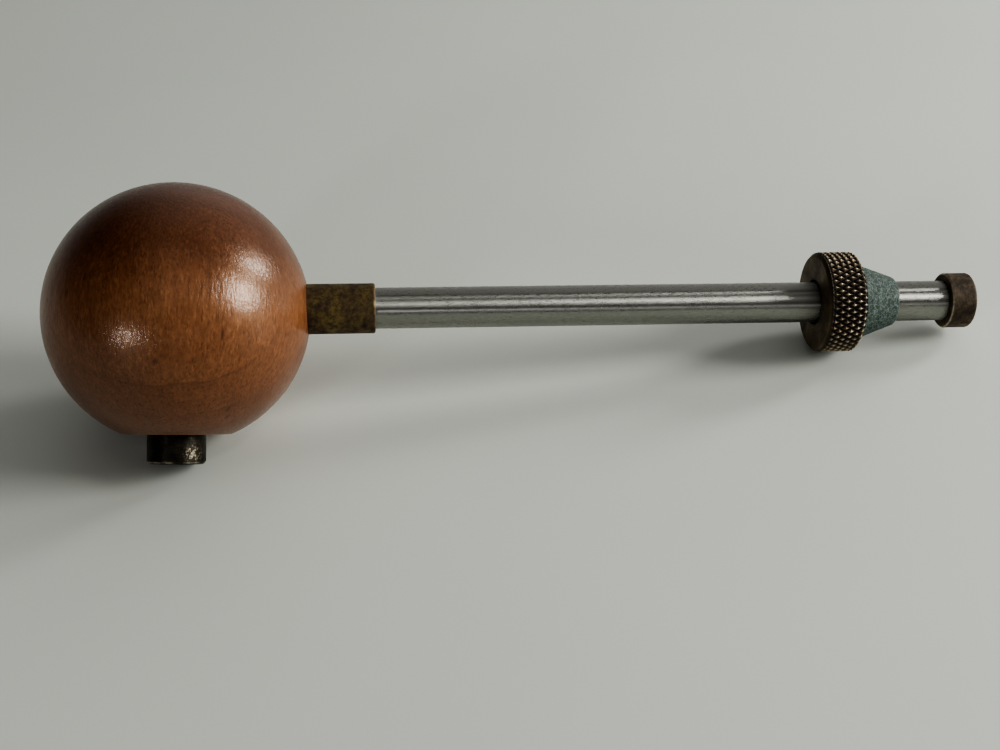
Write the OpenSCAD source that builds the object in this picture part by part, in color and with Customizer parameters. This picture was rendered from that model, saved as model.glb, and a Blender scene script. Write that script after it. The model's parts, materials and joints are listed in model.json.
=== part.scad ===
// Ball-handled rod with a sliding cone collar.
// A turned wooden ball carries a short brass spigot on a turned flat and, at right angles to it,
// a steel rod. A cone collar slides along the rod and is locked by a knurled wheel.

/* [Ball] */
// Diameter of the wooden ball
ball_d = 50; // [46:0.5:56]
// Width of the flat turned on the ball, around the spigot
flat_d = 20.6; // [17:0.1:26]

/* [Spigot] */
// Diameter of the part that stands out of the flat
spigot_d = 11; // [10.6:0.1:13]
// How far it stands out
spigot_out = 5.7; // [4:0.1:7]
// Lean of the ball's flat and spigot from square to the rod, away from the ferrule, in degrees
spigot_lean = 1.6; // [0:0.1:3]
// Diameter of the shank inside the ball
shank_d = 10; // [8:0.1:10.4]
// Thread diameter of the lock screw inside the spigot
lock_screw_d = 5; // [4:0.5:6]
// Length of the lock screw
lock_screw_len = 12; // [8:1:14]

/* [Rod] */
// Diameter of the rod
rod_d = 8; // [6:0.1:8.2]
// From the middle of the ball to the far end of the rod
rod_reach = 151.9; // [145:0.1:180]
// How deep the rod goes past the middle of the ball
rod_past = 9; // [5:0.5:14]
// How far the rod's axis lies off the ball's middle, away from the flat
rod_offset = 0.65; // [0:0.05:1.5]

/* [Ferrule] */
// Outer diameter of the ferrule
ferrule_d = 9.7; // [9.2:0.1:11]
// From the middle of the ball to the ferrule's outer end
ferrule_reach = 37.5; // [30:0.1:45]
// From the middle of the ball to the ferrule's inner end
ferrule_start = 12; // [8:0.5:18]

/* [End cap] */
// Diameter of the end cap
cap_d = 11; // [9.6:0.1:14]
// Length of the end cap
cap_len = 5.1; // [4.2:0.1:8]
// Diameter of the stud that holds it
stud_d = 4; // [3:0.5:5]

/* [Knurled wheel] */
// Diameter over the knurl
wheel_d = 20; // [18:0.1:24]
// Width of the wheel
wheel_w = 7.8; // [6.8:0.1:9]
// From the middle of the ball to the wheel's free face
wheel_at = 125.1; // [100:0.1:126]
// Thread diameter between the wheel and the cone's tail
thread_d = 12; // [11.8:0.1:13]

/* [Cone] */
// Diameter of the cone's wide end
cone_wide_d = 15.5; // [14:0.1:17.5]
// Diameter of the cone's narrow end
cone_tip_d = 9.6; // [9.5:0.1:11]
// Length of the cone
cone_len = 8.3; // [7:0.1:9.5]

/* [Hidden] */
$fn = 96;

// Radial play of what slides or turns, and the gap left between faces of different bodies
play = 0.05;
face_gap = 0.05;

// Edge breaks
spigot_break = 0.5;
ferrule_break = 0.5;
shoulder = 0.7;
cap_break = 0.3;
tip_round = 0.6;

// Ball and flat
ball_r = ball_d / 2;
flat_at = sqrt(pow(ball_r, 2) - pow(flat_d / 2, 2));
spigot_tip = flat_at + spigot_out;

// The lock screw presses on the rod's side, and the shank ends just clear of the rod
rod_side = rod_d / 2 - rod_offset;
shank_end = rod_side + 0.5;
socket_af = lock_screw_d / 2;
socket_depth = 2.5;

// Stud in the rod's end and in the cap
stud_in_rod = 8.4;
stud_in_cap = 3.4;

// Collar: the wheel's web, the washer behind it, the grip ring, then the cone's threaded tail
seam_at = wheel_at + wheel_w;
web = 2;
wheel_bore_d = rod_d + 1;
washer_t = 0.8;
washer_at = wheel_at + web + face_gap;
washer_d = thread_d - 0.5;
ring_wire = 1.5;
ring_at = washer_at + washer_t + face_gap;
tail_at = ring_at + ring_wire + face_gap;

// Resting attitude: the ball, the wheel's lower shoulder and the spigot's rim touch the table.
// Each angle solves  a * sin(angle) + b * cos(angle) = height.
function rest_angle(a, b, height) = atan2(a, b) - acos(height / norm([a, b]));
// How far the spigot's axis and the rod's axis point below level
spigot_fall = rest_angle(spigot_tip, spigot_d / 2 - spigot_break, ball_r);
rod_dip = rest_angle(seam_at - shoulder, wheel_d / 2, ball_r + rod_offset * sin(spigot_fall));
// The turn about the rod that gives the spigot that fall, its lean allowed for
roll = asin((sin(spigot_fall) + sin(rod_dip) * sin(spigot_lean)) / (cos(rod_dip) * cos(spigot_lean)));

// The origin is under the middle of the resting object's length
reach_x = (rod_reach + cap_len) * cos(rod_dip)
    + (cap_d / 2 - cap_break + rod_offset * sin(roll)) * sin(rod_dip);
ball_x = -(reach_x - ball_r) / 2;

// Turns the object from its own axes, rod along X and spigot down, to how it lies on the table
module lay_down() {
    translate([ball_x, 0, ball_r])
        rotate([roll - 90, rod_dip, 0])
            children();
}

// A turned piece on the rod's axis: profile points are [distance along the rod, radius]
module turned(profile) {
    translate([0, 0, rod_offset])
        rotate([0, 90, 0])
            rotate_extrude()
                polygon([for (p = profile) [p[1], p[0]]]);
}

// A cylinder on the rod's axis between two distances from the ball's middle
module on_rod(d, from, to) {
    translate([from, 0, rod_offset])
        rotate([0, 90, 0])
            cylinder(d = d, h = to - from);
}

// Turns something made about the vertical to stand on the spigot's axis
module along_spigot() {
    rotate([0, spigot_lean, 0])
        children();
}

// A cylinder on the spigot's axis between two distances from the ball's middle
module on_spigot(d, from, to, sides = $fn) {
    along_spigot()
        translate([0, 0, -to])
            cylinder(d = d, h = to - from, $fn = sides);
}

module ball() {
    color("saddlebrown")
        difference() {
            sphere(d = ball_d);
            along_spigot()
                translate([0, 0, -flat_at - ball_r])
                    cube(ball_d, center = true);
            on_spigot(shank_d, shank_end, flat_at + 1);
            on_rod(rod_d, -rod_past, ball_d);
            on_rod(ferrule_d, ferrule_start, ball_d);
            on_spigot(lock_screw_d, 0, shank_end + 1);
        }
}

module spigot() {
    rim_r = spigot_d / 2;
    color("darkgoldenrod")
        difference() {
            union() {
                on_spigot(shank_d, shank_end, flat_at + 1);
                along_spigot()
                    rotate_extrude()
                        polygon([
                            [0, -flat_at],
                            [rim_r, -flat_at],
                            [rim_r, spigot_break - spigot_tip],
                            [rim_r - spigot_break, -spigot_tip],
                            [0, -spigot_tip]
                        ]);
            }
            on_spigot(lock_screw_d, 0, ball_d);
        }
}

module lock_screw() {
    outer_end = rod_side + lock_screw_len;
    color("dimgray")
        difference() {
            on_spigot(lock_screw_d, rod_side, outer_end);
            on_spigot(socket_af / cos(30), outer_end - socket_depth, outer_end + 1, sides = 6);
        }
}

module ferrule() {
    color("saddlebrown")
        turned([
            [ferrule_start, rod_d / 2],
            [ferrule_start, ferrule_d / 2],
            [ferrule_reach - ferrule_break, ferrule_d / 2],
            [ferrule_reach, ferrule_d / 2 - ferrule_break],
            [ferrule_reach, rod_d / 2]
        ]);
}

module rod() {
    color("silver")
        difference() {
            on_rod(rod_d, -rod_past, rod_reach);
            on_rod(stud_d, rod_reach - stud_in_rod, rod_reach + 1);
        }
}

module cap_stud() {
    color("gray")
        on_rod(stud_d, rod_reach - stud_in_rod, rod_reach + stud_in_cap);
}

module end_cap() {
    far_end = rod_reach + cap_len;
    color("sienna")
        difference() {
            turned([
                [rod_reach, 0],
                [rod_reach, cap_d / 2 - cap_break],
                [rod_reach + cap_break, cap_d / 2],
                [far_end - cap_break, cap_d / 2],
                [far_end, cap_d / 2 - cap_break],
                [far_end, 0]
            ]);
            on_rod(stud_d, rod_reach - 1, rod_reach + stud_in_cap);
        }
}

// The cone's narrow end is rounded over by an arc of radius tip_round
module cone_collar() {
    bore_r = rod_d / 2 + play;
    tip_x = seam_at + face_gap + cone_len;
    color("cadetblue")
        turned([
            [tail_at, bore_r],
            [tail_at, thread_d / 2 - play],
            [seam_at + face_gap, thread_d / 2 - play],
            [seam_at + face_gap, cone_wide_d / 2],
            for (a = [0 : 15 : 90])
                [tip_x - tip_round * (1 - sin(a)), cone_tip_d / 2 - tip_round * (1 - cos(a))],
            [tip_x, bore_r]
        ]);
}

module grip_ring() {
    color("black")
        translate([ring_at + ring_wire / 2, 0, rod_offset])
            rotate([0, 90, 0])
                rotate_extrude()
                    translate([rod_d / 2 + play + ring_wire / 2, 0])
                        circle(d = ring_wire, $fn = 32);
}

module thrust_washer() {
    color("goldenrod")
        difference() {
            on_rod(washer_d, washer_at, washer_at + washer_t);
            on_rod(rod_d + 2 * play, washer_at - 1, washer_at + washer_t + 1);
        }
}

module knurled_wheel() {
    color("darkgoldenrod")
        turned([
            [wheel_at, wheel_bore_d / 2],
            [wheel_at, wheel_d / 2 - shoulder],
            [wheel_at + shoulder, wheel_d / 2],
            [seam_at - shoulder, wheel_d / 2],
            [seam_at, wheel_d / 2 - shoulder],
            [seam_at, thread_d / 2],
            [wheel_at + web, thread_d / 2],
            [wheel_at + web, wheel_bore_d / 2]
        ]);
}

lay_down() ball();
lay_down() spigot();
lay_down() lock_screw();
lay_down() ferrule();
lay_down() rod();
lay_down() cap_stud();
lay_down() end_cap();
lay_down() cone_collar();
lay_down() grip_ring();
lay_down() thrust_washer();
lay_down() knurled_wheel();
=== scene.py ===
"""Studio scene of a ball-handled rod with a sliding cone collar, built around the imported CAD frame.

Every visible piece is turned on one of two axes that the CAD model gives. Its outline is drawn in the
axis's own frame, with Z along the axis, and its mesh is then stood in the row frame. Lengths are in
metres; MM turns millimetres into them.
"""

import json
import math

import bpy
import numpy as np
from mathutils import Matrix, Quaternion, Vector, noise


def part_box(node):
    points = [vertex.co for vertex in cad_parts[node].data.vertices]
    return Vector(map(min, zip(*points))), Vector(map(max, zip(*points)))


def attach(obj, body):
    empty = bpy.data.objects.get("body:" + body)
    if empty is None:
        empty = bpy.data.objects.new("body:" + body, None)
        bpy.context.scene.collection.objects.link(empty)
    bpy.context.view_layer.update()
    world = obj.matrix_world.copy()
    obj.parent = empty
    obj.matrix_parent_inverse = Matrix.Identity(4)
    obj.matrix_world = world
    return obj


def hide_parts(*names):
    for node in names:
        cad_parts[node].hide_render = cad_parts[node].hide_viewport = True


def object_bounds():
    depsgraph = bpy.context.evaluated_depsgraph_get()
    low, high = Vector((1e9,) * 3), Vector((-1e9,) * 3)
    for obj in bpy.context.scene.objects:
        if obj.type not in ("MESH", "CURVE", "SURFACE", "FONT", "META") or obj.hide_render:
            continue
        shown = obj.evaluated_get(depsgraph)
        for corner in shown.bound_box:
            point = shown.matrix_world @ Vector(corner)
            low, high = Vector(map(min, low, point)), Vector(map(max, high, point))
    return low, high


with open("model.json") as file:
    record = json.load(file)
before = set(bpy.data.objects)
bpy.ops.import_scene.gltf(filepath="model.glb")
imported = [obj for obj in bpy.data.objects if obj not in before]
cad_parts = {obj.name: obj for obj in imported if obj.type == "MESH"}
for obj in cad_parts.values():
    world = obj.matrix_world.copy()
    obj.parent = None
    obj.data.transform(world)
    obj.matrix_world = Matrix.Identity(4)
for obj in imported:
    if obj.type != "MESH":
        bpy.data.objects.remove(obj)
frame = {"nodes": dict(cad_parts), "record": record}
cad_low, cad_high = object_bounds()

MM = 0.001
FULL_TURN = 2 * math.pi
RECORD = frame["record"]
JOINTS = {joint["name"]: joint for joint in RECORD["behaviour"]["joints"]}
SPIGOT_MOUNT = next(mount for mount in RECORD["mounts"] if mount["name"] == "spigot")


# ---------------------------------------------------------------- axes, measured on the CAD frame

class Axis:
    """A turning axis. matrix takes its own frame, with Z along the axis, to the row frame."""

    def __init__(self, origin, along, side):
        self.along = along
        across = (side - along * side.dot(along)).normalized()
        turn = Matrix((across, along.cross(across), along)).transposed().to_4x4()
        self.matrix = Matrix.Translation(origin) @ turn

    def measure(self, node):
        """Height along the axis and distance from it, for every vertex of a CAD node."""
        back = np.array(self.matrix.inverted())
        points = np.array([v.co for v in frame["nodes"][node].data.vertices])
        points = points @ back[:3, :3].T + back[:3, 3]
        return points[:, 2], np.hypot(points[:, 0], points[:, 1])

    def span(self, node):
        """Where a turned CAD node starts and ends, and its smallest and largest radius."""
        height, radius = self.measure(node)
        return height.min(), height.max(), radius.min(), radius.max()


BALL_LOW, BALL_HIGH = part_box("ball")
BALL_RADIUS = (BALL_HIGH - BALL_LOW).z / 2
BALL_CENTRE = (BALL_LOW + BALL_HIGH) / 2
BALL_CENTRE.x = BALL_LOW.x + BALL_RADIUS  # the rod's bore cuts the ball's far side
rod_along = Vector(JOINTS["collar_slide"]["axis"]).normalized()
spigot_along = Vector(SPIGOT_MOUNT["axis"]).normalized()
on_rod = Vector(JOINTS["wheel_turn"]["pos_m"])
beside_ball = on_rod + rod_along * (BALL_CENTRE - on_rod).dot(rod_along)
ROD = Axis(beside_ball, rod_along, spigot_along)
SPIGOT = Axis(BALL_CENTRE, spigot_along, rod_along)


# ---------------------------------------------------------------- turned meshes

FILLET_STEPS = 6


def outline(corners):
    """Points through corners (height, radius, fillet): a corner with a fillet becomes an arc."""
    points = []
    last = len(corners) - 1
    for i, (height, radius, fillet) in enumerate(corners):
        here = Vector((height, radius))
        if fillet <= 0 or i in (0, last):
            points.append(here)
            continue
        to_before = (Vector(corners[i - 1][:2]) - here).normalized()
        to_after = (Vector(corners[i + 1][:2]) - here).normalized()
        half = to_before.angle(to_after) / 2
        centre = here + (to_before + to_after).normalized() * fillet / math.sin(half)
        start = here + to_before * fillet / math.tan(half) - centre
        end = here + to_after * fillet / math.tan(half) - centre
        sweep = start.angle_signed(end)
        for k in range(FILLET_STEPS + 1):
            arm = start.copy()
            arm.rotate(Matrix.Rotation(-sweep * k / FILLET_STEPS, 2))
            points.append(centre + arm)
    return points


def refine(points, step):
    """The same outline with no stretch longer than step."""
    fine = [points[0]]
    for before, after in zip(points, points[1:]):
        parts = max(1, math.ceil((after - before).length / step))
        fine += [before.lerp(after, k / parts) for k in range(1, parts + 1)]
    return fine


def broken_edge(axis, node, face, radius):
    """Size of the edge break where a CAD node's end face at a height meets its widest radius."""
    height, reach = axis.measure(node)
    return radius - reach[abs(height - face) < 0.01 * MM].max()


def clamp(value):
    """The value, held between 0 and 1."""
    return max(0.0, min(1.0, value))


def bell(value):
    """1 at zero, fading out on both sides with a width of 1."""
    return math.exp(-value ** 2)


def beside(angle, heading):
    """How far an angle about an axis is from a heading, the short way round, in radians."""
    return math.remainder(angle - heading, FULL_TURN)


def on_surface(height, radius, angle):
    """Place of a turned surface's point in its axis's own frame."""
    return Vector((radius * math.cos(angle), radius * math.sin(angle), height))


def near(point, corners, width):
    """1 at any of the corners (height, radius), fading out over width."""
    return max(bell((point - Vector(corner)).length / width) for corner in corners)


def turned(name, axis, points, segments, closed=False, shape=None):
    """A mesh turned about an axis from an outline of (height, radius) points.

    An open outline starts and ends on the axis, and a closed one is a ring's section. shape takes
    each point's (height, radius, angle) and returns its new radius, how much it is painted lighter
    (rubbing, and on some pieces a painted highlight) and how much darker (dirt, and on some pieces
    painted shade), which become the mesh's two point attributes.
    """
    ring_points = points if closed else points[1:-1]
    angles = [FULL_TURN * k / segments for k in range(segments)]
    vertices, wear_and_highlight, grime_and_shade = [], [], []
    for height, radius in ring_points:
        for angle in angles:
            r, worn_and_lit, darkened = shape(height, radius, angle) if shape else (radius, 0.0, 0.0)
            vertices.append(on_surface(height, r, angle))
            wear_and_highlight.append(worn_and_lit)
            grime_and_shade.append(darkened)
    rings = len(ring_points)
    faces = []
    for ring in range(rings if closed else rings - 1):
        a, b = ring * segments, (ring + 1) % rings * segments
        steps = [(k, (k + 1) % segments) for k in range(segments)]
        faces += [(a + k, a + after, b + after, b + k) for k, after in steps]
    if not closed:
        for ring, pole in ((0, points[0]), (rings - 1, points[-1])):
            vertices.append((0, 0, pole[0]))
            wear_and_highlight.append(0.0)
            grime_and_shade.append(0.0)
            tip, base = len(vertices) - 1, ring * segments
            fan = [(base + (k + 1) % segments, base + k, tip) for k in range(segments)]
            faces += fan if ring == 0 else [(b, a, t) for a, b, t in fan]
    mesh = bpy.data.meshes.new(name)
    mesh.from_pydata(vertices, [], faces)
    mesh.attributes.new("wear_and_highlight", "FLOAT", "POINT").data.foreach_set("value", wear_and_highlight)
    mesh.attributes.new("grime_and_shade", "FLOAT", "POINT").data.foreach_set("value", grime_and_shade)
    mesh.polygons.foreach_set("use_smooth", [True] * len(mesh.polygons))
    mesh.transform(axis.matrix)
    mesh.update()
    return mesh


def paint(mesh, axis, shape):
    """Sets the painted lightening and darkening again by place, on a mesh that was cut after it was
    turned.
    """
    back = axis.matrix.inverted()
    for vertex in mesh.vertices:
        x, y, height = back @ vertex.co
        _, worn_and_lit, darkened = shape(height, math.hypot(x, y), math.atan2(y, x))
        mesh.attributes["wear_and_highlight"].data[vertex.index].value = worn_and_lit
        mesh.attributes["grime_and_shade"].data[vertex.index].value = darkened


def place(name, mesh, body, node, material):
    """Makes a piece of a mesh, gives it its material, ties it to its body and hides its CAD node."""
    piece = bpy.data.objects.new(name, mesh)
    bpy.context.scene.collection.objects.link(piece)
    mesh.materials.append(material)
    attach(piece, body)
    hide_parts(node)
    return piece


# ---------------------------------------------------------------- node helpers

class Nodes:
    """Short calls that build the node tree of a material or a world."""

    def __init__(self, owner):
        owner.use_nodes = True
        self.nodes = owner.node_tree.nodes
        self.links = owner.node_tree.links

    def set(self, node, inputs):
        """Links or sets a node's inputs, by name or by number."""
        for key, value in inputs.items():
            socket = node.inputs[key.replace("_", " ") if isinstance(key, str) else key]
            if isinstance(value, bpy.types.NodeSocket):
                self.links.new(value, socket)
            elif isinstance(value, tuple) and len(value) == 3 and socket.type == "RGBA":
                socket.default_value = (*value, 1.0)
            else:
                socket.default_value = value

    def node(self, kind, inputs, **settings):
        """A new shader node of a kind, with its settings and inputs."""
        made = self.nodes.new("ShaderNode" + kind)
        for key, value in settings.items():
            setattr(made, key, value)
        self.set(made, inputs)
        return made

    def ramp(self, value, *stops):
        """Colours, or greys as plain numbers, at positions along value."""
        made = self.node("ValToRGB", {"Fac": value})
        steps = made.color_ramp.elements
        while len(steps) < len(stops):
            steps.new(0.5)
        for step, (position, shade) in zip(steps, stops):
            colour = shade if isinstance(shade, tuple) else (shade, shade, shade)
            step.position = position
            step.color = (*colour, 1.0)
        return made.outputs[0]

    def mix(self, factor, a, b, blend="MIX"):
        """a where factor is 0, b where it is 1; a and b are colours."""
        inputs = {0: factor, 6: a, 7: b}
        return self.node("Mix", inputs, data_type="RGBA", blend_type=blend).outputs[2]

    def math(self, operation, a, b=0.0, clamp=False):
        """One sum on two values."""
        return self.node("Math", {0: a, 1: b}, operation=operation, use_clamp=clamp).outputs[0]


class Finish(Nodes):
    """A procedural material under construction.

    Its textures are laid out in the frame of the piece's axis, so grain and scratches follow the piece.
    """

    def __init__(self, name, axis, **values):
        self.material = bpy.data.materials.new(name)
        super().__init__(self.material)
        self.shader = self.nodes["Principled BSDF"]
        self.set(self.shader, values)
        self.turned = self.node("Mapping", {
            "Vector": self.node("TexCoord", {}).outputs["Object"],
            "Location": tuple(axis.matrix.translation),
            "Rotation": tuple(axis.matrix.to_euler()),
        }, vector_type="TEXTURE").outputs[0]

    def stretched(self, along):
        """The axis's coordinates scaled along it; a scale below 1 draws textures out that way."""
        return self.node("Mapping", {"Vector": self.turned, "Scale": (1.0, 1.0, along)}).outputs[0]

    def noise(self, scale, detail=3.0, roughness=0.55, distortion=0.0, at=None):
        """Smooth noise with so many features to the metre, on the axis's own coordinates or at others."""
        inputs = {"Vector": at or self.turned, "Scale": scale, "Detail": detail,
                  "Roughness": roughness, "Distortion": distortion}
        return self.node("TexNoise", inputs).outputs[0]

    def cell_walls(self, scale, at):
        """Distance to the walls between random cells."""
        cells = self.node("TexVoronoi", {"Vector": at, "Scale": scale}, feature="DISTANCE_TO_EDGE")
        return cells.outputs["Distance"]

    def warped(self, scale, amount):
        """The axis's coordinates pushed about by noise, amount in metres."""
        noisy = self.node("TexNoise", {"Vector": self.turned, "Scale": scale, "Detail": 2.0})
        middle = (0.5, 0.5, 0.5)
        shift = self.node("VectorMath", {0: noisy.outputs["Color"], 1: middle}, operation="SUBTRACT")
        scaled = self.node("VectorMath", {0: shift.outputs[0], "Scale": amount}, operation="SCALE")
        pushed = self.node("VectorMath", {0: self.turned, 1: scaled.outputs[0]}, operation="ADD")
        return pushed.outputs[0]

    def attribute(self, name):
        """One of the mesh's point attributes: rubbing with painted highlight, or dirt with painted shade.
        """
        return self.node("Attribute", {}, attribute_name=name).outputs["Fac"]

    def bump(self, height, depth, strength=1.0, over=None):
        """Normal of a relief so many metres deep, laid over another normal."""
        inputs = {"Height": height, "Distance": depth, "Strength": strength}
        if over is not None:
            inputs["Normal"] = over
        return self.node("Bump", inputs).outputs[0]

    def finish(self, **inputs):
        """Fills in the shader and gives back the material."""
        self.set(self.shader, inputs)
        return self.material


# ---------------------------------------------------------------- materials

def wood():
    """Stained hardwood, grain along the spigot, under a satin lacquer that follows its pores.

    Growth rings run round a pith beside the ball, and the end grain at both poles took more stain.
    """
    finish = Finish("stained_wood", SPIGOT)
    x, y, z = finish.node("SeparateXYZ", {"Vector": finish.turned}).outputs
    pith_offset, ring_width, ring_drift = 15 * MM, 4.6 * MM, 1.6 * MM
    wander = finish.noise(90, detail=2, at=finish.stretched(along=0.4))
    pith = finish.node("CombineXYZ", {"X": x, "Y": finish.math("ADD", y, pith_offset)}).outputs[0]
    distance = finish.node("VectorMath", {0: pith}, operation="LENGTH").outputs["Value"]
    reach = finish.math("ADD", distance, finish.math("MULTIPLY", wander, ring_drift))
    ring = finish.math("FRACT", finish.math("DIVIDE", reach, ring_width))
    late_wood = finish.ramp(ring, (0.0, 0.0), (0.55, 0.10), (0.90, 0.45), (0.955, 1.0), (0.985, 0.0))
    lines = finish.noise(2300, detail=3, roughness=0.6, at=finish.stretched(along=0.12))
    streaks = finish.noise(700, detail=4, roughness=0.65, at=finish.stretched(along=0.12))
    fleck = finish.noise(1700, detail=3, roughness=0.6, at=finish.stretched(along=0.35))
    stipple = finish.noise(1900, detail=2, roughness=0.7, at=finish.stretched(along=0.55))
    clouds = finish.noise(60, detail=3, distortion=0.6, at=finish.stretched(along=0.5))
    pores = finish.ramp(lines, (0.56, 0.0), (0.66, 1.0))
    base = finish.ramp(clouds, (0.30, (0.196, 0.082, 0.036)), (0.70, (0.262, 0.116, 0.055)))
    streaked = finish.mix(finish.ramp(streaks, (0.35, 0.0), (0.70, 0.50)), base, (0.130, 0.046, 0.018))
    flecked = finish.mix(finish.ramp(fleck, (0.50, 0.0), (0.78, 0.50)), streaked, (0.40, 0.190, 0.085))
    faint = finish.ramp(finish.noise(45, detail=2), (0.40, 0.05), (0.62, 0.42))
    ringed = finish.mix(finish.math("MULTIPLY", late_wood, faint), flecked, (0.085, 0.028, 0.011))
    pored = finish.mix(finish.math("MULTIPLY", pores, 0.50), ringed, (0.060, 0.020, 0.008))
    dotted = finish.mix(finish.ramp(stipple, (0.32, 0.48), (0.56, 0.0)), pored, (0.090, 0.032, 0.013))
    level = finish.math("ADD", finish.math("DIVIDE", z, 50 * MM), 0.5)
    blur = finish.math("MULTIPLY", finish.math("SUBTRACT", clouds, 0.5), 0.12)
    stain = finish.ramp(finish.math("ADD", level, blur), (0.05, (0.42, 0.35, 0.33)),
                        (0.28, (0.50, 0.42, 0.40)), (0.42, (0.84, 0.80, 0.78)), (0.52, (1.0, 1.0, 1.0)),
                        (0.66, (0.84, 0.80, 0.78)), (0.85, (0.66, 0.61, 0.62)))
    stained = finish.mix(1.0, dotted, stain, blend="MULTIPLY")
    darkened = finish.mix(finish.attribute("grime_and_shade"), stained, (0.040, 0.014, 0.007))
    # Lighter wood where the mesh is marked: rubbed wood, and at the flat's eased edge a painted
    # highlight.
    colour = finish.mix(finish.attribute("wear_and_highlight"), darkened, (0.36, 0.17, 0.08))
    peel = finish.noise(2000, detail=2, roughness=0.5, at=finish.stretched(along=0.75))
    swell = finish.noise(600, detail=2)
    satin = finish.bump(lines, -0.035 * MM, over=finish.bump(fleck, 0.03 * MM))
    lacquer = finish.bump(peel, 0.06 * MM, over=finish.bump(swell, 0.05 * MM))
    lacquer = finish.bump(lines, -0.075 * MM, over=lacquer)
    rough = finish.ramp(fleck, (0.35, 0.28), (0.65, 0.40))
    return finish.finish(Base_Color=colour, Roughness=rough, Normal=satin, Specular_IOR_Level=0.48,
                         Specular_Tint=(1.0, 0.76, 0.55), Coat_Weight=0.36, Coat_Roughness=0.10,
                         Coat_Tint=(1.0, 0.94, 0.88), Coat_Normal=lacquer)


def patinated(name, axis, colours, mottle=420, rough=(0.42, 0.66), glints=(0.62, 0.78),
              metallic=0.7, specular=0.5):
    """Brass or bronze under a grainy brown patina, with bright spots, bare metal on rubbed edges and dark
    dirt;
    on the spigot the pale rim is partly a painted highlight and the dark root is painted shade.

    colours are the patina's dark and light tones and its bright spots. mottle is the scale of its
    clouds, rough the roughness of its light and dark clouds, and glints the range of noise that
    brings the bright spots in.
    """
    dark, light, glint = colours
    finish = Finish(name, axis, Metallic=metallic, Specular_IOR_Level=specular)
    clouds = finish.noise(mottle, detail=4, roughness=0.6, distortion=0.4)
    grain = finish.noise(mottle * 4, detail=4, roughness=0.75)
    specks = finish.noise(mottle * 4.5, detail=3, roughness=0.6)
    body = finish.ramp(clouds, (0.34, dark), (0.64, light))
    darkest = tuple(0.4 * channel for channel in dark)
    grained = finish.mix(finish.ramp(grain, (0.38, 0.65), (0.58, 0.0)), body, darkest)
    spots = finish.noise(mottle * 0.6, detail=6, roughness=0.7)
    spotted = finish.mix(finish.ramp(spots, (glints[0], 0.0), (glints[1], 0.8)), grained, glint)
    broken = finish.ramp(specks, (0.30, 0.3), (0.55, 1.0))
    worn_and_lit = finish.math("MULTIPLY", finish.attribute("wear_and_highlight"), broken, clamp=True)
    bright = finish.mix(worn_and_lit, spotted, (0.72, 0.64, 0.46))
    colour = finish.mix(finish.attribute("grime_and_shade"), bright, (0.012, 0.009, 0.007))
    dull = finish.ramp(clouds, (0.3, rough[1]), (0.7, rough[0]))
    roughness = finish.mix(worn_and_lit, dull, (0.26, 0.26, 0.26))
    normal = finish.bump(specks, 0.03 * MM, 0.5)
    normal = finish.bump(clouds, 0.05 * MM, 0.35, over=normal)
    return finish.finish(Base_Color=colour, Roughness=roughness, Normal=normal)


def brushed_steel():
    """Stainless steel whose highlights spread along the rod, with fine lines and a few dull smudges."""
    finish = Finish("brushed_steel", ROD, Metallic=1.0, Anisotropic=1.0)
    along = finish.node("CombineXYZ", dict(zip("XYZ", ROD.along))).outputs[0]
    lines = finish.noise(3400, detail=3, roughness=0.6, at=finish.stretched(along=0.22))
    smudge = finish.noise(130, detail=4, roughness=0.6)
    colour = finish.ramp(lines, (0.25, (0.268, 0.270, 0.246)), (0.75, (0.352, 0.354, 0.324)))
    blend = finish.node("Mix", {"Factor": 0.4, "A": lines, "B": smudge}).outputs["Result"]
    rough = finish.ramp(blend, (0.3, 0.24), (0.7, 0.34))
    normal = finish.bump(lines, 0.0025 * MM, 0.4)
    return finish.finish(Base_Color=colour, Roughness=rough, Normal=normal, Tangent=along)


def verdigris():
    """Rough green-grey corrosion: pale matted strands over dark teal."""
    finish = Finish("verdigris", ROD)
    tangled = finish.warped(700, 1.6 * MM)
    strands = finish.cell_walls(900, at=finish.warped(1300, 1.5 * MM))
    fibres = finish.noise(1000, detail=6, roughness=0.75, distortion=1.8, at=tangled)
    patches = finish.noise(260, detail=4, roughness=0.6, distortion=0.5)
    body = finish.ramp(patches, (0.30, (0.012, 0.025, 0.024)), (0.50, (0.024, 0.044, 0.038)),
                       (0.74, (0.041, 0.069, 0.056)))
    pale = finish.mix(finish.ramp(fibres, (0.48, 0.0), (0.66, 0.70)), body, (0.100, 0.140, 0.116))
    crusted = finish.mix(finish.ramp(strands, (0.02, 0.62), (0.09, 0.0)), pale, (0.160, 0.200, 0.168))
    pits = finish.ramp(finish.noise(1500, detail=3), (0.36, 1.0), (0.46, 0.0))
    dark = finish.mix(finish.math("MULTIPLY", pits, 0.5), crusted, (0.008, 0.012, 0.013))
    colour = finish.mix(finish.attribute("grime_and_shade"), dark, (0.010, 0.012, 0.011))
    normal = finish.bump(fibres, 0.12 * MM, 0.9)
    normal = finish.bump(pits, -0.08 * MM, 0.6, over=normal)
    rough = finish.ramp(fibres, (0.3, 0.62), (0.7, 0.85))
    return finish.finish(Base_Color=colour, Roughness=rough, Normal=normal)


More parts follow.
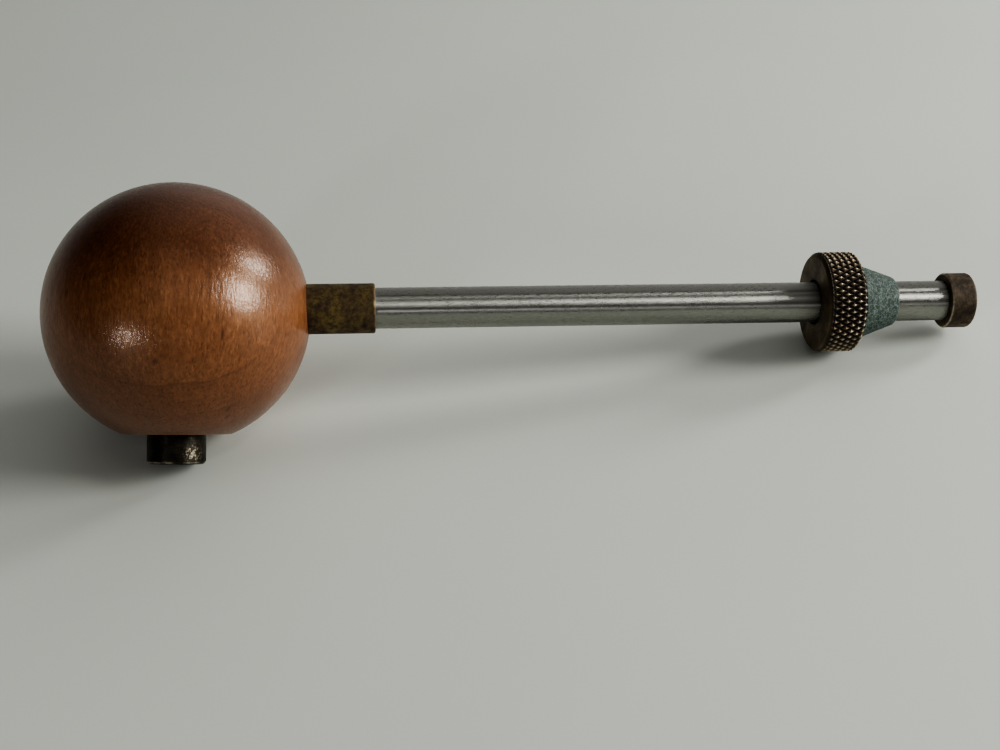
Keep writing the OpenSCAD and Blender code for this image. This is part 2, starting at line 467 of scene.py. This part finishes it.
def knurled_brass():
    """Near-black hollows, brown faces and pale brass on the crests of the knurl, partly a painted
    highlight;
    the bore is darkened with painted shade.
    """
    finish = Finish("wheel_patina", ROD, Metallic=0.7)
    clouds = finish.noise(260, detail=5, roughness=0.6, distortion=0.4)
    specks = finish.noise(1900, detail=3, roughness=0.6)
    body = finish.ramp(clouds, (0.28, (0.054, 0.039, 0.026)), (0.52, (0.120, 0.088, 0.052)),
                       (0.75, (0.205, 0.152, 0.082)))
    broken = finish.ramp(specks, (0.25, 0.5), (0.6, 1.0))
    crest = finish.math("MULTIPLY", finish.attribute("wear_and_highlight"), broken, clamp=True)
    bright = finish.mix(crest, body, (0.62, 0.56, 0.43))
    colour = finish.mix(finish.attribute("grime_and_shade"), bright, (0.014, 0.010, 0.008))
    rough = finish.mix(crest, finish.ramp(clouds, (0.3, 0.62), (0.7, 0.46)), (0.30, 0.30, 0.30))
    normal = finish.bump(specks, 0.03 * MM, 0.5)
    return finish.finish(Base_Color=colour, Roughness=rough, Normal=normal)


def small_steel():
    """Blackened steel of the hidden screws."""
    finish = Finish("black_steel", ROD, Metallic=1.0)
    grain = finish.noise(1500, detail=4)
    colour = finish.ramp(grain, (0.3, (0.05, 0.05, 0.055)), (0.7, (0.13, 0.13, 0.135)))
    return finish.finish(Base_Color=colour, Roughness=finish.ramp(grain, (0.3, 0.35), (0.7, 0.55)),
                         Normal=finish.bump(grain, 0.01 * MM, 0.4))


def black_rubber():
    """The grip ring."""
    finish = Finish("black_rubber", ROD)
    grain = finish.noise(2500, detail=4)
    colour = finish.ramp(grain, (0.3, (0.012, 0.012, 0.012)), (0.7, (0.030, 0.029, 0.028)))
    return finish.finish(Base_Color=colour, Roughness=finish.ramp(grain, (0.3, 0.7), (0.7, 0.9)),
                         Normal=finish.bump(grain, 0.02 * MM, 0.5))


def pale_table():
    """Plain pale table, with very faint mottling."""
    finish = Finish("pale_table", Axis(Vector((0, 0, 0)), Vector((0, 0, 1)), Vector((1, 0, 0))))
    clouds = finish.noise(9, detail=3)
    grain = finish.noise(1400, detail=3)
    tone = finish.ramp(clouds, (0.3, (0.612, 0.640, 0.588)), (0.7, (0.640, 0.670, 0.614)))
    colour = finish.mix(finish.ramp(grain, (0.35, 0.0), (0.65, 0.10)), tone, (0.58, 0.60, 0.555))
    return finish.finish(Base_Color=colour, Roughness=0.62, Normal=finish.bump(grain, 0.02 * MM, 0.25))


# ---------------------------------------------------------------- pieces

def stub_profile():
    """Along the spigot's axis: where its shank starts, the flat, the tip, and its three radii."""
    start, tip, bore, radius = SPIGOT.span("spigot")
    height, reach = SPIGOT.measure("spigot")
    hair = 0.01 * MM
    flat = height[reach > radius - hair].min()
    shank = reach[height < flat - hair].max()
    return start, flat, tip, bore, shank, radius


def make_ball():
    """Turned wooden ball with a few dents, a flat round the spigot, eased at its edge, and two bores."""
    shank_end, flat, _, _, shank, _ = stub_profile()
    radius = BALL_RADIUS
    edge = 0.9 * MM
    dent_depth = 0.035 * MM
    dome_points, edge_points = 230, 10
    inner = radius - edge
    rim = math.sqrt(inner ** 2 - (flat - edge) ** 2)
    stop = math.acos((flat - edge) / inner)
    dome = [Vector((-radius * math.cos(a), radius * math.sin(a)))
            for a in np.linspace(0, math.pi - stop, dome_points)]
    ease = [Vector((flat - edge + edge * math.cos(a), rim + edge * math.sin(a)))
            for a in np.linspace(stop, 0, edge_points)[1:]]
    socket = outline([(flat, rim, 0), (flat, shank, 0.15 * MM), (shank_end, shank, 0), (shank_end, 0, 0)])
    points = dome + ease + refine(socket[1:], 0.8 * MM)

    # Dents: heading round the axis, angle from the pole away from the flat (degrees), half length and
    # half width (mm)
    dents = [(64, 101, 1.1, 0.30), (66, 82, 1.3, 0.22), (92, 113, 0.5, 0.45), (148, 87, 0.5, 0.35),
             (51, 136, 0.9, 0.25), (48, 141, 0.6, 0.30), (69, 52, 0.3, 0.80), (-20, 95, 1.2, 0.30),
             (-110, 76, 0.8, 0.30)]

    def shape(height, r, angle):
        top_angle = math.acos(max(-1.0, min(1.0, -height / radius)))
        dent = 0.0
        for heading, down, length, width in dents:
            across = beside(angle, math.radians(heading)) * r / (width * MM)
            lengthways = (top_angle - math.radians(down)) * radius / (length * MM)
            dent = max(dent, bell(across) * bell(lengthways))
        # Painted lighter at the flat's eased edge: rubbed wood and a painted highlight along the edge.
        eased = near(Vector((height, r)), [(flat, rim + 0.4 * edge)], 0.3 * MM)
        return r - dent_depth * dent, 0.35 * eased, 0.85 * dent

    mesh = turned("ball_turned", SPIGOT, points, segments=360, shape=shape)
    ball = place("wood_ball", mesh, "handle", "ball", wood())
    bore_for_ferrule(ball)
    paint(ball.data, SPIGOT, shape)


def bore_for_ferrule(ball):
    """Cuts the hole that the ferrule sits in, a hair wider than the ferrule."""
    start, end, _, radius = ROD.span("ferrule")
    wide = radius + 0.08 * MM
    points = outline([(start, 0, 0), (start, wide, 0), (end, wide, 0), (end, 0, 0)])
    cutter = bpy.data.objects.new("ferrule_cutter", turned("cutter", ROD, points, segments=96))
    bpy.context.scene.collection.objects.link(cutter)
    cut = ball.modifiers.new("bore", "BOOLEAN")
    cut.object = cutter
    cut.solver = "EXACT"
    bpy.context.view_layer.update()
    graph = bpy.context.evaluated_depsgraph_get()
    bored = bpy.data.meshes.new_from_object(ball.evaluated_get(graph))
    ball.modifiers.clear()
    ball.data = bored
    bpy.data.objects.remove(cutter)


def make_spigot():
    """Dark brass stub, rubbed bright on one side, its rim pale from rubbing and a painted highlight, and
    darkened with painted shade where it leaves the ball, with the lock screw's bore.
    """
    start, flat, tip, bore, shank, radius = stub_profile()
    edge = broken_edge(SPIGOT, "spigot", tip, radius)
    soft = 0.25 * MM
    corners = [(start, bore, 0), (start, shank, 0), (flat, shank, 0), (flat, radius, 0),
               (tip - edge, radius, soft), (tip, radius - edge, soft), (tip, bore, soft),
               (start + 0.1 * MM, bore, 0)]
    ring = refine(outline(corners), 0.2 * MM)
    rubbed_heading = math.radians(46)
    rubbed_width = 0.42

    def shape(height, r, angle):
        point = Vector((height, r))
        spot = on_surface(height, r, angle)
        uneven = clamp(0.5 + 1.6 * noise.noise(spot * 500))
        # The tip's chamfer is painted pale in broken patches: rubbed brass and a painted highlight.
        rim = near(point, [(tip - 0.7 * edge, radius - 0.3 * edge)], 0.16 * MM) * uneven
        side = bell(beside(angle, rubbed_heading) / rubbed_width)
        middle = bell(((height - flat) / (tip - flat) - 0.62) / 0.30)
        strands = 1 - 3.2 * abs(noise.fractal(spot * 1100, 0.9, 2.1, 3))
        rubbed = clamp((0.9 * side * middle + 1.1 * strands - 1.25) * 2.5)
        # Painted shade: the shank is darkened where it leaves the ball's flat.
        return r, max(0.8 * rim, 0.42 * rubbed), near(point, [(flat, radius)], 0.5 * MM)

    mesh = turned("spigot_turned", SPIGOT, ring, segments=288, closed=True, shape=shape)
    colours = (0.010, 0.008, 0.006), (0.044, 0.036, 0.022), (0.26, 0.21, 0.12)
    finish = patinated("spigot_patina", SPIGOT, colours, mottle=520, rough=(0.28, 0.50),
                       glints=(0.62, 0.80))
    place("brass_spigot", mesh, "handle", "spigot", finish)


def make_ferrule():
    """Dark brass tube, its outer edge rounded and polished bright."""
    start, end, bore, radius = ROD.span("ferrule")
    rounding = 0.45 * MM
    corners = [(start, bore, 0), (start, radius, 0), (end, radius, rounding), (end, bore, 0),
               (start + 0.1 * MM, bore, 0)]
    ring = refine(outline(corners), 0.12 * MM)

    def shape(height, r, angle):
        point = Vector((height, r))
        polished = near(point, [(end, radius - 0.42 * MM)], 0.13 * MM)
        # The end face is darker round the bore.
        return r, polished, near(point, [(end, bore)], 0.25 * MM)

    mesh = turned("ferrule_turned", ROD, ring, segments=160, closed=True, shape=shape)
    colours = (0.072, 0.046, 0.037), (0.205, 0.150, 0.056), (0.42, 0.32, 0.15)
    finish = patinated("ferrule_patina", ROD, colours, mottle=260, glints=(0.66, 0.95))
    place("brass_ferrule", mesh, "handle", "ferrule", finish)


def make_rod():
    """Stainless rod, its ends lightly broken."""
    start, end, _, radius = ROD.span("rod")
    edge = 0.25 * MM
    points = outline([(start, 0, 0), (start, radius, edge), (end, radius, edge), (end, 0, 0)])
    mesh = turned("rod_turned", ROD, refine(points, 1.5 * MM), segments=192)
    place("steel_rod", mesh, "handle", "rod", brushed_steel())


def make_cap():
    """Bronze end cap, its inner edge rubbed."""
    start, end, _, radius = ROD.span("end_cap")
    edge = broken_edge(ROD, "end_cap", start, radius)
    soft = 0.15 * MM
    far_rounding = 0.5 * MM
    corners = [(start, 0, 0), (start, radius - edge, soft), (start + edge, radius, soft),
               (end, radius, far_rounding), (end, 0, 0)]

    def shape(height, r, angle):
        rubbed = near(Vector((height, r)), [(start + edge / 2, radius - edge / 2)], 0.16 * MM)
        return r, 0.7 * rubbed, 0.0

    points = refine(outline(corners), 0.2 * MM)
    mesh = turned("cap_turned", ROD, points, segments=192, shape=shape)
    colours = (0.044, 0.031, 0.020), (0.120, 0.086, 0.052), (0.20, 0.14, 0.08)
    finish = patinated("cap_bronze", ROD, colours, mottle=300, rough=(0.50, 0.66),
                       glints=(0.60, 0.95), metallic=0.15, specular=0.25)
    place("bronze_cap", mesh, "handle", "end_cap", finish)


def make_wheel():
    """Brass wheel with a real diamond knurl: two opposite families of helical grooves.

    Its crests are painted brightest next to the cone and on the spigot's side, where the light falls, a
    painted highlight over rubbed brass; its bore is darkened with painted shade.
    """
    start, end, bore, radius = ROD.span("knurled_wheel")
    height, reach = ROD.measure("knurled_wheel")
    hair = 0.05 * MM
    thread = reach[height > end - hair].min()
    web_end = height[abs(reach - thread) < hair].min()
    edge = broken_edge(ROD, "knurled_wheel", start, radius)
    soft = 0.3 * MM
    corners = [(start, bore, 0), (start, radius - edge, soft), (start + edge, radius, soft),
               (end - edge, radius, soft), (end, radius - edge, soft), (end, thread, 0.2 * MM),
               (web_end, thread, 0), (web_end, bore, 0), (start + 0.02 * MM, bore, 0)]
    ring = refine(outline(corners), 0.1 * MM)

    grooves = 44
    column = 1.2 * MM
    depth = 0.5 * MM
    groove_half_width, flank = 0.86, 0.72
    plain_edge = 0.55 * MM
    run_out = 0.35 * MM
    knurled_depth = 1.2 * MM
    segments_per_groove = 16

    def groove(turns):
        """1 at a groove's bottom and 0 on the ridge between two, with sloping sides."""
        off = abs(turns - math.floor(turns) - 0.5) * 2
        return clamp((groove_half_width - off) / flank)

    def shape(height, r, angle):
        if r < radius - knurled_depth or height < start + hair:
            # Painted shade: the bore and the face next to it are darkened.
            return r, 0.0, 0.6 if r < bore + 0.3 * MM else 0.0
        rim = near(Vector((height, r)), [(start + edge, radius)], 0.45 * MM)
        fade = clamp((height - start - plain_edge) / run_out)
        edge_fade = clamp((r - radius + 1.0 * MM) / (0.4 * MM))
        around = angle / FULL_TURN * grooves
        lengthways = (height - start) / (2 * column)
        full_cut = max(groove(around + lengthways), groove(around - lengthways))
        cut = full_cut * fade
        across = (height - start) / (end - start)
        # Painted highlight over rubbed brass: crests are made lighter towards the cone end and on the
        # spigot's side, where the light falls.
        lit_and_handled = (0.30 + 0.80 * across) * (0.72 + 0.62 * math.cos(angle))
        uneven = clamp(lit_and_handled + 1.3 * noise.noise(on_surface(height, r, angle) * 260))
        crest = max(0.0, 1 - full_cut * 2.4) * fade * uneven
        return r - depth * cut * edge_fade, crest, max(0.0, cut * 1.7 - 0.5, 0.9 * rim)

    segments = grooves * segments_per_groove
    mesh = turned("wheel_turned", ROD, ring, segments, closed=True, shape=shape)
    place("brass_wheel", mesh, "wheel", "knurled_wheel", knurled_brass())


def make_cone():
    """Cone with a crusted surface, and the threaded tail that the wheel runs on."""
    start, end, bore, radius = ROD.span("cone_collar")
    height, reach = ROD.measure("cone_collar")
    hair = 0.02 * MM
    seat = height[reach > radius - hair].min()
    tail = reach[height < seat - hair].max()
    tip_round = 0.7 * MM
    tip = reach[height > end - tip_round].max()
    crust = 0.05 * MM
    corners = [(start, bore, 0), (start, tail, 0), (seat, tail, 0), (seat, radius, 0.15 * MM),
               (end, tip, tip_round), (end, bore, 0.1 * MM), (start + 0.05 * MM, bore, 0)]
    ring = refine(outline(corners), 0.13 * MM)

    def shape(height, r, angle):
        if height < seat + 0.1 * MM or r < bore + 0.3 * MM:
            return r, 0.0, 0.0
        lump = noise.fractal(on_surface(height, r, angle) * 1100, 0.9, 2.1, 4)
        root = near(Vector((height, r)), [(seat, radius)], 0.5 * MM)
        # The cone is darker at its foot next to the wheel.
        return r - crust * max(0.0, 0.6 + 0.9 * lump), 0.0, 0.7 * root

    mesh = turned("cone_turned", ROD, ring, segments=420, closed=True, shape=shape)
    place("verdigris_cone", mesh, "collar", "cone_collar", verdigris())


def dress_hidden_nodes():
    """Finishes for the CAD nodes that stay: two screws, the grip ring and the thrust washer."""
    steel = small_steel()
    washer_colours = (0.16, 0.11, 0.05), (0.34, 0.25, 0.11), (0.6, 0.46, 0.2)
    finishes = {
        "lock_screw": steel,
        "cap_stud": steel,
        "grip_ring": black_rubber(),
        "thrust_washer": patinated("washer_brass", ROD, washer_colours),
    }
    for node, material in finishes.items():
        frame["nodes"][node].data.materials.clear()
        frame["nodes"][node].data.materials.append(material)


# ---------------------------------------------------------------- stage, light and camera

def make_floor():
    """Round pale table that ends before the windows, so that it is lit up to its edge."""
    radius = 0.6
    segments = 180
    rim = [on_surface(0, radius, FULL_TURN * k / segments) for k in range(segments)]
    mesh = bpy.data.meshes.new("table")
    mesh.from_pydata(rim, [], [tuple(range(segments))])
    floor = bpy.data.objects.new("table", mesh)
    bpy.context.scene.collection.objects.link(floor)
    mesh.materials.append(pale_table())


def direction(heading, elevation):
    """Unit vector at a heading from +X towards +Y and an elevation above the table, in degrees."""
    h, e = math.radians(heading), math.radians(elevation)
    return Vector((math.cos(h) * math.cos(e), math.sin(h) * math.cos(e), math.sin(e)))


def add_window(name, heading, elevation, distance, width, height, radiance, colour):
    """A soft area light that faces the object.

    width and height are the angles that it fills as seen from the object, in degrees.
    """
    data = bpy.data.lights.new(name, "AREA")
    data.shape = "RECTANGLE"
    data.size = 2 * distance * math.tan(math.radians(width / 2))
    data.size_y = 2 * distance * math.tan(math.radians(height / 2))
    data.energy = radiance * math.pi * data.size * data.size_y
    data.color = colour
    lamp = bpy.data.objects.new(name, data)
    bpy.context.scene.collection.objects.link(lamp)
    towards = direction(heading, elevation)
    lamp.location = (cad_low + cad_high) / 2 + towards * distance
    lamp.rotation_mode = "QUATERNION"
    lamp.rotation_quaternion = (-towards).to_track_quat("-Z", "Y")


def add_lights():
    """Two windows to the right and a small lamp low in front on the left."""
    daylight = (1.0, 0.99, 0.965)
    lamplight = (0.98, 0.97, 1.0)
    add_window("window_front", heading=-12.5, elevation=20.9, distance=1.0, width=20.5, height=24.5,
               radiance=17.5, colour=daylight)
    add_window("window_back", heading=19.6, elevation=20.5, distance=0.9, width=10, height=18,
               radiance=20.0, colour=daylight)
    add_window("side_lamp", heading=-128, elevation=16, distance=0.7, width=6, height=7,
               radiance=28.0, colour=lamplight)


def add_room():
    """World: a dim room in strips along X, brighter to the right and pale where the camera looks.

    Each strip has an angle: 0 degrees at the horizon in front, 90 overhead and 180 behind.
    """
    world = bpy.data.worlds.new("room")
    bpy.context.scene.world = world
    room = Nodes(world)
    x, y, z = room.node("SeparateXYZ", {0: room.node("TexCoord", {}).outputs["Generated"]}).outputs
    turn = room.math("ARCTAN2", z, room.math("MULTIPLY", y, -1.0))
    half_turns = room.math("DIVIDE", turn, math.pi)

    def strips(stops):
        """Slightly warm light by angle, from stops (degrees, radiance)."""
        return room.ramp(half_turns, *[
            (degrees / 180, (radiance, radiance * 0.99, radiance * 0.97)) for degrees, radiance in stops
        ])

    right = [(0, 0.10), (12, 0.50), (22, 0.20), (34, 0.20), (45, 0.36), (57, 0.55), (67, 0.42),
             (77, 0.26), (88, 0.46), (97, 0.28), (106, 0.18), (114, 0.33), (124, 0.42), (150, 0.44),
             (180, 0.50)]
    left = [(0, 0.34), (12, 0.18), (24, 0.0), (130, 0.0), (150, 0.04), (165, 0.12), (180, 0.18)]
    backdrop = (0.50, 0.52, 0.47)
    to_the_right = room.node("MapRange", {"Value": x, "From Min": -0.42, "From Max": 0.10}).outputs[0]
    light = room.mix(to_the_right, strips(left), strips(right))
    seen = room.node("LightPath", {}).outputs["Is Camera Ray"]
    room.set(room.nodes["Background"], {"Color": room.mix(seen, light, backdrop)})


def add_camera():
    """Camera in front of the object and above it, turned a little about its own view."""
    heading, elevation, roll = -2.2, 38.5, -5.05
    distance = 0.2682
    aim = Vector((BALL_CENTRE.x + 60.3 * MM, 1.9 * MM, 0))
    data = bpy.data.cameras.new("camera")
    data.lens = 47.0
    data.sensor_width = 36.0
    data.clip_start = 0.01
    camera = bpy.data.objects.new("camera", data)
    bpy.context.scene.collection.objects.link(camera)
    towards = -direction(-90 + heading, elevation)
    camera.location = aim - towards * distance
    camera.rotation_mode = "QUATERNION"
    tilt = Quaternion((0, 0, 1), math.radians(roll))
    camera.rotation_quaternion = towards.to_track_quat("-Z", "Y") @ tilt
    bpy.context.scene.camera = camera


bpy.context.scene.view_settings.look = "AgX - High Contrast"
add_camera()
make_ball()
make_spigot()
make_ferrule()
make_rod()
make_cap()
make_wheel()
make_cone()
dress_hidden_nodes()
make_floor()
add_lights()
add_room()
